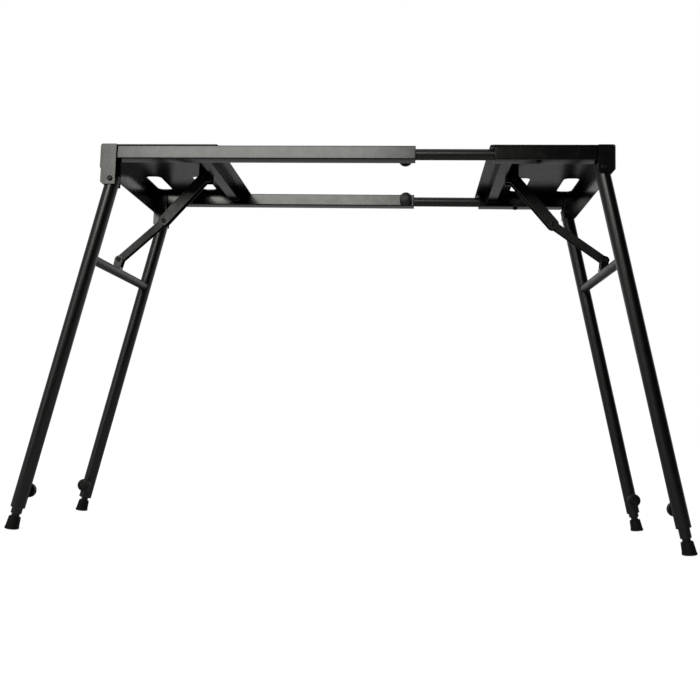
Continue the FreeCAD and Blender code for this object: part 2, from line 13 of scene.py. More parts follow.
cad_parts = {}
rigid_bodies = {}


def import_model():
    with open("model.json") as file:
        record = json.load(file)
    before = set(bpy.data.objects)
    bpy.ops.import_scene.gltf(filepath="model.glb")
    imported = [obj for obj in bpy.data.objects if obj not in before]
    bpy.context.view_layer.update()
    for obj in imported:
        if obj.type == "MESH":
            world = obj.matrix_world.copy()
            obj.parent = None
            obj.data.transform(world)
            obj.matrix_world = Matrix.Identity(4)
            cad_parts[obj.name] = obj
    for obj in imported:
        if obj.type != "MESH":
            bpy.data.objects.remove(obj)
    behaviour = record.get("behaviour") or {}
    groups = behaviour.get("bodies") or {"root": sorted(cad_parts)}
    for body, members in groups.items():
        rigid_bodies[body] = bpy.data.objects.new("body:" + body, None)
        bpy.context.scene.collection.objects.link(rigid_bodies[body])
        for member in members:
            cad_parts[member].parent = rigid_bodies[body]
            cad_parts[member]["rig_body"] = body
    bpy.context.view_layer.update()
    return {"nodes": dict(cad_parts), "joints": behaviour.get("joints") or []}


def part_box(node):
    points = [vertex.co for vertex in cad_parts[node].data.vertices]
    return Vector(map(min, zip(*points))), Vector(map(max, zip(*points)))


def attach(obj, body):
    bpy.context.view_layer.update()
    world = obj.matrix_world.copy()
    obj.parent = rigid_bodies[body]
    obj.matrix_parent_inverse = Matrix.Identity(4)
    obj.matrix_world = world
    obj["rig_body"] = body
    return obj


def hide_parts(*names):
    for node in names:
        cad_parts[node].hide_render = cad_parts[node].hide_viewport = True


# Looks of a folding keyboard stand, built round its packed frame. Metres, floor at zero, Z up.

LOG = logging.getLogger("keyboard_stand")
UP = Vector((0.0, 0.0, 1.0))
WHITE = (1.0, 1.0, 1.0)
WARM_WHITE = (1.0, 0.995, 0.93)
EVEN = (1.0, 1.0, 1.0)
MERGE = 0.00001
FLAT_ANGLE = math.radians(0.4)
SHARP_ANGLE = math.radians(32.0)
# Most of a noise lies between these two values.
NOISE_SPAN = (0.35, 0.65)
# Where a Mix node has its two ends and its result, for numbers and for colours.
MIX_SOCKETS = {"FLOAT": (2, 3, 0), "RGBA": (6, 7, 2)}
Span = tuple[float, float]
Triple = tuple[float, float, float]
Colour = Triple
Piece = bpy.types.Object
Socket = bpy.types.NodeSocket
Entry = Socket | float | tuple[float, ...]
# Takes a face's middle and normal, or an edge's two ends.
Test = Callable[[Vector, Vector], bool]


class Side(Enum):
    """The two end units of the stand."""

    LEFT = "left"
    RIGHT = "right"


class End(Enum):
    """The front is towards the viewer."""

    FRONT = "front"
    BACK = "back"

    @property
    def inwards(self) -> Vector:
        """The direction from this end to the other."""
        return Vector((0.0, 1.0 if self is End.FRONT else -1.0, 0.0))


class Slot(Enum):
    """The record's material slots."""

    COAT = "black_coat"
    HARDWARE = "black_hardware"
    PLASTIC = "black_plastic"
    RUBBER = "black_rubber"


class Sweep(Enum):
    """What changes first on a quarter curve of a turned piece."""

    RADIUS = "radius"
    HEIGHT = "height"


@dataclass(frozen=True)
class Pattern:
    """A bump of the surface: how large its grains are, how deep, and how finely broken."""

    size: float
    depth: float
    detail: float = 2.0


class Recipe:
    """The node tree of a material or of the surround, while it is put together."""

    def __init__(self, owner: bpy.types.Material | bpy.types.World) -> None:
        """Start with an empty tree.

        Args:
            owner: What the tree belongs to.
        """
        owner.use_nodes = True
        self.tree = owner.node_tree
        self.tree.nodes.clear()
        self.coordinates = self.node("TexCoord").outputs

    def node(
        self, kind: str, entries: dict[str | int, Entry] | None = None, **settings: str
    ) -> bpy.types.Node:
        """Add a node.

        Args:
            kind: The node's type, without the words that all types begin with.
            entries: What goes into its inputs: another node's socket, or a value.
            settings: Attributes to set on it.

        Returns:
            The new node.
        """
        made = self.tree.nodes.new(f"ShaderNode{kind}")
        for name, setting in settings.items():
            setattr(made, name, setting)
        for name, entry in (entries or {}).items():
            if isinstance(entry, Socket):
                self.tree.links.new(entry, made.inputs[name])
            else:
                made.inputs[name].default_value = entry
        return made

    def along(self, axis: str, coordinates: str = "Object") -> Socket:
        """The place, or in the surround the direction, along one axis."""
        return self.node("SeparateXYZ", {"Vector": self.coordinates[coordinates]}).outputs[axis]

    def noise(self, size: float, detail: float, stretch: Triple = EVEN) -> Socket:
        """Add a noise on object coordinates.

        Args:
            size: How large its grains are, in metres.
            detail: How finely it is broken.
            stretch: How much the pattern is squeezed along each axis.

        Returns:
            The socket of the noise's value.
        """
        mapping = self.node("Mapping", {"Vector": self.coordinates["Object"], "Scale": stretch})
        entries = {"Vector": mapping.outputs["Vector"], "Scale": 1.0 / size, "Detail": detail}
        return self.node("TexNoise", entries).outputs["Fac"]

    def spread(self, source: Socket, start: Span, result: Span = (0.0, 1.0), soft: bool = False) -> Socket:
        """Spread a part of a value's range over another range.

        Args:
            source: The value.
            start: The two ends of that part.
            result: What the two ends become.
            soft: Whether the change sets in gently.

        Returns:
            The socket of the new value.
        """
        limits = dict(zip(("From Min", "From Max", "To Min", "To Max"), (*start, *result)))
        slope = "SMOOTHSTEP" if soft else "LINEAR"
        return self.node("MapRange", {"Value": source, **limits}, interpolation_type=slope).outputs["Result"]

    def patches(self, size: float, detail: float, result: Span = (0.0, 1.0)) -> Socket:
        """Go from one value to another in patches of a size."""
        return self.spread(self.noise(size, detail), NOISE_SPAN, result)

    def combine(self, operation: str, first: Socket, second: Entry) -> Socket:
        """Do one sum on two values."""
        return self.node("Math", {0: first, 1: second}, operation=operation).outputs["Value"]

    def blend(self, share: Socket, first: Entry, second: Entry, kind: str = "FLOAT") -> Socket:
        """Mix two values.

        Args:
            share: The share of the second value.
            first: The value at zero.
            second: The value at one.
            kind: Whether they are numbers or colours.

        Returns:
            The socket of the mixed value.
        """
        start, end, result = MIX_SOCKETS[kind]
        return self.node("Mix", {0: share, start: first, end: second}, data_type=kind).outputs[result]

    def tint(self, share: Socket, first: Colour, second: Colour) -> Socket:
        """Mix two colours."""
        return self.blend(share, (*first, 1.0), (*second, 1.0), "RGBA")

    def bump(self, height: Socket, depth: float, under: Socket | None) -> Socket:
        """Raise a pattern on the surface.

        Args:
            height: The pattern, from zero to one.
            depth: How high one is, in metres.
            under: The normal of the coarser pattern that it lies on, if there is one.

        Returns:
            The socket of the new normal.
        """
        entries = {"Height": height, "Strength": 1.0, "Distance": depth}
        if under is not None:
            entries["Normal"] = under
        return self.node("Bump", entries).outputs["Normal"]

    def rays(self) -> tuple[Socket, Socket]:
        """Tell apart what the camera sees and what shows in gloss and glass.

        Returns:
            The sockets that are one for the camera's rays, and for glossy and transmitted rays.
        """
        path = self.node("LightPath").outputs
        passed_on = self.combine("MAXIMUM", path["Is Glossy Ray"], path["Is Transmission Ray"])
        return path["Is Camera Ray"], passed_on


@dataclass(frozen=True)
class Finish:
    """A surface finish: two near tones, a range of roughness, and bumps from coarse to fine."""

    name: str
    slot: Slot
    deep: Colour
    pale: Colour
    tone_size: float
    roughness: Span
    patterns: tuple[Pattern, ...]
    specular: float = 0.5
    metallic: float = 0.0
    tone_detail: float = 3.0
    gloss_detail: float = 2.0
    gloss_parts: float = 3.0

    @cache
    def make(self) -> bpy.types.Material:
        """Build the material, once.

        Returns:
            The finished material.
        """
        material = bpy.data.materials.new(self.name)
        recipe = Recipe(material)
        normal = None
        for pattern in self.patterns:
            normal = recipe.bump(recipe.noise(pattern.size, pattern.detail), pattern.depth, normal)
        entries = {
            "Base Color": self.colour(recipe),
            "Roughness": self.gloss(recipe),
            "Normal": self.marks(recipe, normal),
            "Specular IOR Level": self.specular,
            "Metallic": self.metallic,
        }
        shader = recipe.node("BsdfPrincipled", entries)
        recipe.node("OutputMaterial", {"Surface": shader.outputs["BSDF"]})
        return material

    def colour(self, recipe: Recipe) -> Socket:
        """Give the surface its slightly uneven tone."""
        return recipe.tint(recipe.patches(self.tone_size, self.tone_detail), self.deep, self.pale)

    def gloss(self, recipe: Recipe) -> Socket:
        """Vary the roughness a little, in patches smaller than those of the tone."""
        return recipe.patches(self.tone_size / self.gloss_parts, self.gloss_detail, self.roughness)

    def marks(self, recipe: Recipe, normal: Socket) -> Socket:
        """Add what this finish alone has. The plain finish has nothing more."""
        return normal


@dataclass(frozen=True)
class TooledFinish(Finish):
    """Hardware that was driven with a tool: fine marks drawn out along one axis."""

    mark_size: float = 0.0006
    mark_depth: float = 0.000006
    mark_detail: float = 1.0
    drawn_out: Triple = (0.15, 1.0, 1.0)

    def marks(self, recipe: Recipe, normal: Socket) -> Socket:
        """Add the fine drawn-out marks."""
        scratches = recipe.noise(self.mark_size, self.mark_detail, self.drawn_out)
        return recipe.bump(scratches, self.mark_depth, normal)


@dataclass(frozen=True)
class RubbedFinish(Finish):
    """A coat that is rubbed matt on the upper side of its sheet, where keyboards are set down."""

    rubbed: float = 0.62
    sheet_height: Span = (0.7063, 0.7078)

    def gloss(self, recipe: Recipe) -> Socket:
        """Raise the roughness towards the sheet's upper side."""
        worn = recipe.spread(recipe.along("Z"), self.sheet_height)
        return recipe.blend(worn, super().gloss(recipe), self.rubbed)


@dataclass(frozen=True)
class FloorWornFinish(Finish):
    """Rubber that is dusty where it meets the floor. Its pale tone is the dust's."""

    dust_height: Span = (0.0, 0.006)

    def colour(self, recipe: Recipe) -> Socket:
        """Mix dust into the tone near the sole, broken up by a noise.

        Args:
            recipe: The rubber's material.

        Returns:
            The socket of the colour.
        """
        low = recipe.spread(recipe.along("Z"), self.dust_height, (1.0, 0.0))
        broken = recipe.combine("MULTIPLY", low, recipe.patches(self.tone_size, self.tone_detail))
        return recipe.tint(broken, self.deep, self.pale)


POWDER_COAT = Finish(
    name="satin_powder_coat",
    slot=Slot.COAT,
    deep=(0.0009, 0.0009, 0.0009),
    pale=(0.0015, 0.0015, 0.0014),
    tone_size=0.05,
    roughness=(0.21, 0.25),
    patterns=(Pattern(size=0.012, depth=0.000002), Pattern(size=0.0016, depth=0.0000004)),
    specular=0.75,
)
DECK_COAT = RubbedFinish(**{**vars(POWDER_COAT), "name": "rubbed_powder_coat"})
TUBE_COAT = replace(
    POWDER_COAT,
    name="soft_powder_coat",
    deep=(0.0014, 0.0014, 0.0014),
    pale=(0.0022, 0.0022, 0.0021),
    roughness=(0.28, 0.32),
    specular=0.88,
)
MATT_COAT = replace(
    POWDER_COAT,
    name="matt_powder_coat",
    deep=(0.0016, 0.0016, 0.0016),
    pale=(0.0026, 0.0026, 0.0025),
    tone_size=0.03,
    roughness=(0.36, 0.42),
    patterns=(Pattern(size=0.012, depth=0.000002), Pattern(size=0.0016, depth=0.000001)),
    specular=0.65,
)
DRAWN_TUBE = replace(
    POWDER_COAT,
    name="black_plated_tube",
    deep=(0.0045, 0.0045, 0.0043),
    pale=(0.0062, 0.0062, 0.0059),
    roughness=(0.36, 0.42),
    patterns=(Pattern(size=0.012, depth=0.000002), Pattern(size=0.0016, depth=0.0000006)),
    specular=0.85,
)
WELD_COAT = replace(
    POWDER_COAT,
    name="coated_weld",
    deep=(0.0020, 0.0020, 0.0020),
    pale=(0.0034, 0.0034, 0.0033),
    tone_size=0.006,
    roughness=(0.30, 0.40),
    patterns=(Pattern(size=0.0022, depth=0.00035, detail=1.0), Pattern(size=0.0008, depth=0.00002)),
)
BLACK_OXIDE = TooledFinish(
    name="black_oxide_steel",
    slot=Slot.HARDWARE,
    deep=(0.008, 0.008, 0.0085),
    pale=(0.016, 0.016, 0.0165),
    tone_size=0.003,
    roughness=(0.24, 0.34),
    patterns=(Pattern(size=0.0012, depth=0.000010),),
    metallic=0.4,
)
MOULDED_PLASTIC = Finish(
    name="grained_moulding",
    slot=Slot.PLASTIC,
    deep=(0.0042, 0.0042, 0.0043),
    pale=(0.0060, 0.0060, 0.0061),
    tone_size=0.012,
    roughness=(0.38, 0.48),
    patterns=(Pattern(size=0.0009, depth=0.000012), Pattern(size=0.0003, depth=0.000008)),
)
FOOT_RUBBER = FloorWornFinish(
    name="matt_foot_rubber",
    slot=Slot.RUBBER,
    deep=(0.0040, 0.0040, 0.0040),
    pale=(0.020, 0.019, 0.017),
    tone_size=0.004,
    roughness=(0.60, 0.74),
    patterns=(Pattern(size=0.0018, depth=0.00003), Pattern(size=0.0005, depth=0.00001)),
    specular=0.35,
)


def near(one: float, other: float) -> bool:
    """Whether two measures are the same."""
    return abs(one - other) < MERGE


def put_in_scene(name: str, data: bpy.types.ID) -> Piece:
    """Make an object and put it in the scene.

    Args:
        name: The object's name.
        data: Its mesh, lamp or camera.

    Returns:
        The object, at the origin.
    """
    made = bpy.data.objects.new(name, data)
    bpy.context.scene.collection.objects.link(made)
    return made


def twin(piece: Piece, name: str) -> Piece:
    """Copy a piece together with its mesh."""
    return put_in_scene(name, piece.data.copy())


def scrap(piece: Piece) -> None:
    """Throw away a pattern piece that was only there to be copied."""
    bpy.data.objects.remove(piece)


def put_down_all() -> None:
    """Leave edit mode and deselect every object."""
    if bpy.context.object is not None and bpy.context.object.mode != "OBJECT":
        bpy.ops.object.mode_set(mode="OBJECT")
    bpy.ops.object.select_all(action="DESELECT")


def pick_up(piece: Piece) -> None:
    """Select one object alone and make it the active one.

    Args:
        piece: The object.
    """
    put_down_all()
    piece.select_set(True)
    bpy.context.view_layer.objects.active = piece


def keep_place(piece: Piece) -> None:
    """Move a piece's place, turn and size into its mesh."""
    pick_up(piece)
    bpy.ops.object.transform_apply(location=True, rotation=True, scale=True)


class Workbench:
    """Edit mode on one piece, left again at the end of the with block."""

    def __init__(self, piece: Piece) -> None:
        """Remember the piece."""
        self.piece = piece

    def __enter__(self) -> "Workbench":
        """Enter edit mode with the whole piece selected.

        Returns:
            The workbench.
        """
        pick_up(self.piece)
        bpy.ops.object.mode_set(mode="EDIT")
        bpy.ops.mesh.select_mode(type="FACE")
        bpy.ops.mesh.select_all(action="SELECT")
        return self

    def __exit__(self, *error: object) -> None:
        """Leave edit mode."""
        bpy.ops.object.mode_set(mode="OBJECT")

    def select(self, mode: str, test: Callable[[bmesh.types.BMFace | bmesh.types.BMEdge], bool]) -> int:
        """Select only the faces or edges that pass a test.

        Args:
            mode: Which of the two.
            test: Takes a face or an edge.

        Returns:
            How many passed.
        """
        bpy.ops.mesh.select_mode(type=mode)
        bpy.ops.mesh.select_all(action="DESELECT")
        shape = bmesh.from_edit_mesh(self.piece.data)
        chosen = [element for element in (shape.faces if mode == "FACE" else shape.edges) if test(element)]
        for element in chosen:
            element.select_set(True)
        bmesh.update_edit_mesh(self.piece.data)
        return len(chosen)

    def faces(self, test: Test) -> int:
        """Select only the faces whose middle and normal pass a test."""
        return self.select("FACE", lambda face: test(face.calc_center_median(), face.normal))

    def edges(self, test: Test) -> int:
        """Select only the edges whose two ends pass a test."""
        return self.select("EDGE", lambda edge: test(edge.verts[0].co, edge.verts[1].co))

    def reach(self) -> float:
        """How far from the Z axis the selection reaches."""
        shape = bmesh.from_edit_mesh(self.piece.data)
        return max(vertex.co.xy.length for vertex in shape.verts if vertex.select)


@dataclass(frozen=True)
class Ring:
    """One ring of a turned piece. A rounded one ends the flats before it."""

    radius: float
    along: float
    rounded: bool = False


def curve_out(start: Ring, end: Ring, steps: int, first: Sweep) -> list[Ring]:
    """Rings on a quarter of an ellipse between two rings.

    Args:
        start: The ring that the quarter starts from.
        end: The ring that it ends at.
        steps: Into how many parts it is divided.
        first: What changes first, the radius or the height.

    Returns:
        The rings after the start, up to the end.
    """
    rings = []
    for step in range(1, steps + 1):
        angle = math.pi / 2 * step / steps
        slow = 1.0 - math.cos(angle)
        fast = math.sin(angle)
        out, up = (fast, slow) if first is Sweep.RADIUS else (slow, fast)
        radius = start.radius + (end.radius - start.radius) * out
        rings.append(Ring(radius, start.along + (end.along - start.along) * up))
    return rings


def turn(name: str, rings: Sequence[Ring], sides: int, flats: int = 0) -> Piece:
    """Turn a closed piece about the Z axis, ring after ring.

    Args:
        name: The piece's name.
        rings: Its rings, from one end to the other.
        sides: How many sides a ring has.
        flats: How many flats it starts with, or zero for a round start.

    Returns:
        The piece, with its faces outwards.
    """
    put_down_all()
    start = UP * rings[0].along
    bpy.ops.mesh.primitive_circle_add(
        vertices=flats or sides, radius=rings[0].radius, fill_type="NGON", location=start
    )
    piece = bpy.context.object
    piece.name = name
    keep_place(piece)
    with Workbench(piece) as bench:
        if flats:
            bpy.ops.mesh.subdivide(number_cuts=sides // flats - 1)
            bpy.ops.mesh.select_all(action="SELECT")
        for before, ring in zip(rings, rings[1:]):
            rise = UP * (ring.along - before.along)
            bpy.ops.mesh.extrude_region_move(TRANSFORM_OT_translate={"value": rise})
            if ring.rounded:
                bpy.ops.transform.tosphere(value=1.0)
            scale = ring.radius / bench.reach()
            bpy.ops.transform.resize(value=(scale, scale, 1.0), center_override=UP * ring.along)
        bpy.ops.mesh.select_all(action="SELECT")
        bpy.ops.mesh.remove_doubles(threshold=MERGE)
        bpy.ops.mesh.normals_make_consistent(inside=False)
    return piece


def smooth(piece: Piece, angle: float = SHARP_ANGLE) -> None:
    """Shade a piece smooth, except over sharp edges."""
    pick_up(piece)
    bpy.ops.object.shade_smooth_by_angle(angle=angle)


def ease(piece: Piece, width: float, segments: int = 2) -> None:
    """Take the sharpness off a piece's edges, as grinding and coating do.

    Args:
        piece: The piece.
        width: The width of the eased edge.
        segments: How many faces it has across.
    """
    pick_up(piece)
    bpy.ops.object.shade_smooth()
    bevel = piece.modifiers.new("eased_edges", "BEVEL")
    bevel.width = width
    bevel.segments = segments
    bevel.limit_method = "ANGLE"
    bevel.angle_limit = SHARP_ANGLE
    bevel.harden_normals = True
    bpy.ops.object.modifier_apply(modifier=bevel.name)


def set_down(piece: Piece, point: Vector, direction: Vector, turned: float = 0.0) -> None:
    """Move a piece from the bench to its place and keep the place in its mesh.

    Args:
        piece: A piece made about the Z axis.
        point: Where its origin goes.
        direction: Where its Z axis points.
        turned: How far it is turned about its own axis, in degrees.
    """
    lean = direction.to_track_quat("Z", "Y").to_matrix().to_4x4()
    own_turn = Matrix.Rotation(math.radians(turned), 4, "Z")
    piece.matrix_world = Matrix.Translation(point) @ lean @ own_turn
    keep_place(piece)


@dataclass(frozen=True)
class Weld:
    """A weld bead along those of a piece's edges whose two ends pass a test."""

    test: Test
    radius: float
    roundness: int = 2

    def lay(self, piece: Piece, name: str) -> Piece:
        """Lay the bead.

        Args:
            piece: The piece that the edges belong to.
            name: The bead's name.

        Returns:
            The bead, as a mesh.
        """
        known = set(bpy.data.objects)
        with Workbench(piece) as bench:
            if not bench.edges(self.test):
                raise ValueError(f"{name}: no edge of {piece.name} was found for it")
            bpy.ops.mesh.duplicate()
            bpy.ops.mesh.separate(type="SELECTED")
        bead = next(item for item in bpy.data.objects if item not in known)
        bead.name = name
        pick_up(bead)
        bpy.ops.object.convert(target="CURVE")
        bead.data.bevel_depth = self.radius
        bead.data.bevel_resolution = self.roundness
        bpy.ops.object.convert(target="MESH")
        smooth(bead, math.pi)
        return bead


@dataclass(frozen=True)
class Stand:
    """The packed frame, as the pieces need it."""

    nodes: dict[str, Piece]
    joints: dict[str, dict]

    def body(self, node: str) -> str:
        """The body that a node rides on."""
        return self.nodes[node]["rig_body"]

    def pivot(self, joint: str) -> Vector:
        """A joint's place."""
        return Vector(self.joints[joint]["pos_m"])

    def axis(self, joint: str) -> Vector:
        """A joint's direction."""
        return Vector(self.joints[joint]["axis"]).normalized()

    def middle(self, node: str) -> Vector:
        """The middle of a node's box."""
        low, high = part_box(node)
        return (low + high) / 2

    def add_detail(self, piece: Piece, finish: Finish, node: str) -> None:
        """Paint a piece and hang it on its node's body.

        Args:
            piece: The finished piece.
            finish: What it is coated with.
            node: The node that carries it.
        """
        piece.data.materials.clear()
        piece.data.materials.append(finish.make())
        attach(piece, self.body(node))
        LOG.info("%s: %d faces on %s", piece.name, len(piece.data.polygons), self.body(node))

    def finish_piece(self, piece: Piece, finish: Finish, node: str) -> None:
        """Paint a piece and hang it on its node's body in the node's stead."""
        self.add_detail(piece, finish, node)
        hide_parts(node)

    def merged(self, node: str, name: str) -> Piece:
        """Copy a node and merge its loose triangles into whole faces.

        Args:
            node: The node to copy. It is left alone.
            name: The copy's name.

        Returns:
            The copy.
        """
        piece = twin(self.nodes[node], name)
        pick_up(piece)
        if piece.data.has_custom_normals:
            bpy.ops.mesh.customdata_custom_splitnormals_clear()
        with Workbench(piece):
            bpy.ops.mesh.remove_doubles(threshold=MERGE)
            bpy.ops.mesh.dissolve_limited(angle_limit=FLAT_ANGLE)
        return piece

    def work_up(self, node: str, kind: str, edge: float, finish: Finish, weld: Weld | None = None) -> None:
        """Make the finished form of a plain node: the same shape with eased edges.

        Args:
            node: The node to work up.
            kind: What the piece is, for its name.
            edge: The width of its eased edges.
            finish: What it is coated with.
            weld: Its weld bead, if it has one.
        """
        piece = self.merged(node, f"{node}_{kind}")
        if weld is not None:
            self.add_detail(weld.lay(piece, f"{node}_welds"), WELD_COAT, node)
        ease(piece, edge)
        self.finish_piece(piece, finish, node)


@dataclass(frozen=True)
class SideAssembly:
    """What the sub-assemblies of one side share."""

    stand: Stand
    side: Side

    def node(self, name: str, end: End | None = None) -> str:
        """The full name of a node, joint or piece of this side."""
        placed = f"{end.value}_{name}" if end else name
        return f"{self.side.value}_{placed}"


@dataclass(frozen=True)
class EndUnit(SideAssembly):
    """One end of the top: deck, channel, leg brackets, brace bracket, rails and their guides."""

    sheet_edge: float = 0.0004
    tube_edge: float = 0.0003
    bead: float = 0.0014

    def build(self) -> None:
        """Make all the pieces of this end."""
        self.stand.work_up(self.node("deck"), "sheet", self.sheet_edge, DECK_COAT)
        for name in ("brace_bracket", "front_bracket", "back_bracket"):
            self.stand.work_up(self.node(name), "sheet", self.sheet_edge, POWDER_COAT)
        for end in End:
            self.stand.work_up(self.node("rail", end), "tube", self.tube_edge, POWDER_COAT)
        self.stand.work_up(self.node("rail_bushes"), "guides", self.tube_edge, MOULDED_PLASTIC)
        self.channel()

    def channel(self) -> None:
        """Make the cross channel with its welds to the rails."""
        node = self.node("cross_channel")
        low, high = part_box(node)

        def outside(point: Vector) -> bool:
            """Whether a point is on an end's outer outline, except along the deck."""
            at_side = near(point.x, low.x) or near(point.x, high.x)
            return (near(point.y, low.y) or near(point.y, high.y)) and (at_side or near(point.z, low.z))

        def weld_line(one: Vector, other: Vector) -> bool:
            """Whether an edge runs round an end's outside."""
            along_side = near(one.x, other.x) or (near(one.z, low.z) and near(other.z, low.z))
            return outside(one) and outside(other) and one.y * other.y > 0 and along_side

        self.stand.work_up(node, "sheet", self.sheet_edge, POWDER_COAT, Weld(weld_line, self.bead))


@dataclass(frozen=True)
class LegFrame(SideAssembly):
    """Two leg tubes with the cross-bar and clevis welded between them."""

    edge: float = 0.0004
    tube_radius: float = 0.0127
    bar_radius: float = 0.009
    seam_gap: float = 0.00004
    bead: float = 0.0013

    def build(self) -> None:
        """Make all the pieces of this leg frame."""
        for end in End:
            self.stand.work_up(self.node("leg_tube", end), "tube", self.edge, TUBE_COAT)
            self.stand.work_up(self.node("inner_tube", end), "tube", self.edge, TUBE_COAT)
            self.stand.work_up(self.node("stud", end), "neck", self.edge, MOULDED_PLASTIC)
        self.stand.work_up(self.node("clevis"), "sheet", self.edge, POWDER_COAT)
        self.stand.work_up(self.node("leg_bushes"), "guides", self.edge, MOULDED_PLASTIC)
        self.bar()

    def bar(self) -> None:
        """Make the cross-bar with its welds to the leg tubes."""
        node = self.node("cross_bar")
        down = self.stand.axis(self.node("front_leg_slide"))
        bar_middle = self.stand.middle(node)
        legs = [self.stand.middle(self.node("inner_tube", end)) for end in End]

        def off_tube(point: Vector, leg: Vector) -> float:
            """How far a point is from a leg tube's outside."""
            return abs((point - leg - down * (point - leg).dot(down)).length - self.tube_radius)

        def on_tube(point: Vector) -> bool:
            """Whether a point of the bar's outside lies on a leg tube."""
            off_bar = abs((point - bar_middle).xz.length - self.bar_radius)
            return max(off_bar, min(off_tube(point, leg) for leg in legs)) < self.seam_gap

        def on_seam(one: Vector, other: Vector) -> bool:
            """Whether an edge runs round a leg tube, and not from one tube to the other."""
            return on_tube(one) and on_tube(other) and (one - other).length < self.bar_radius

        self.stand.work_up(node, "tube", self.edge, MATT_COAT, Weld(on_seam, self.bead))


@dataclass(frozen=True)
class Brace(SideAssembly):
    """The two folding links and the rivets that they turn on."""

    sheet_edge: float = 0.0003
    head: float = 0.0047
    head_height: float = 0.0020
    edge_share: float = 0.25
    crown_share: float = 0.12
    shank: float = 0.0025
    dimple: float = 0.0019
    dimple_depth: float = 0.0013
    dimple_shares: tuple[Span, ...] = ((0.55, 0.0), (0.85, 0.2), (1.0, 0.6))
    ear: float = 0.0020
    sides: int = 48
    lip_steps: int = 4
    edge_steps: int = 5
    dome_steps: int = 7

    def build(self) -> None:
        """Make all the pieces of this brace."""
        for name in ("upper_link", "lower_link"):
            self.stand.work_up(self.node(name), "sheet", self.sheet_edge, MATT_COAT)
        for name in ("brace_rivet", "elbow_rivet"):
            self.through_rivet(self.node(name))
        self.stub_rivets(self.node("clevis_rivets"))

    def formed_head(self, face: float) -> list[Ring]:
        """The rolled head of a rivet, from its dimple out to the sheet.

        Args:
            face: How far along the axis the sheet's face is.

        Returns:
            The rings, from the dimple outwards.
        """
        top = face - self.head_height
        floor = top + self.dimple_depth
        rings = [Ring(self.dimple * out, floor - self.dimple_depth * up) for out, up in self.dimple_shares]
        lip = Ring((self.head + self.dimple) / 2, top)
        edge = Ring(self.head, face - self.head_height * self.edge_share)
        rings += curve_out(rings[-1], lip, self.lip_steps, Sweep.HEIGHT)
        rings += curve_out(lip, edge, self.edge_steps, Sweep.RADIUS)
        return [*rings, Ring(self.head, face)]

    def domed_head(self, face: float) -> list[Ring]:
        """The round factory head of a rivet.

        Args:
            face: How far along the axis the sheet's face is.

        Returns:
            The rings, from the sheet to the head's top.
        """
        edge = Ring(self.head, face + self.head_height * self.edge_share)
        top = Ring(self.head * self.crown_share, face + self.head_height)
        return [Ring(self.head, face), edge, *curve_out(edge, top, self.dome_steps, Sweep.HEIGHT)]

    def through_rivet(self, node: str) -> None:
        """Make a rivet that goes right through a joint of the brace.

        Args:
            node: The node that it replaces.
        """
        low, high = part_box(node)
        grip = (high.y - low.y) / 2 - self.head_height
        rings = [*self.formed_head(-grip), Ring(self.shank, -grip), Ring(self.shank, grip)]
        piece = turn(f"{node}_rolled", [*rings, *self.domed_head(grip)], self.sides)
        smooth(piece)
        set_down(piece, self.stand.middle(node), End.FRONT.inwards)
        self.stand.finish_piece(piece, BLACK_OXIDE, node)

    def stub_rivets(self, node: str) -> None:
        """Make the short rivets in the clevis, one in each ear.

        Args:
            node: The node that they replace.
        """
        low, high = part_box(node)
        middle = self.stand.middle(node)
        rings = [*self.formed_head(0.0), Ring(self.shank, 0.0), Ring(self.shank, self.ear)]
        pattern = turn("rivet_pattern", rings, self.sides)
        smooth(pattern)
        for end, face in zip(End, (low.y + self.head_height, high.y - self.head_height)):
            piece = twin(pattern, f"{node}_{end.value}")
            set_down(piece, Vector((middle.x, face, middle.z)), end.inwards)
            self.stand.finish_piece(piece, BLACK_OXIDE, node)
        scrap(pattern)


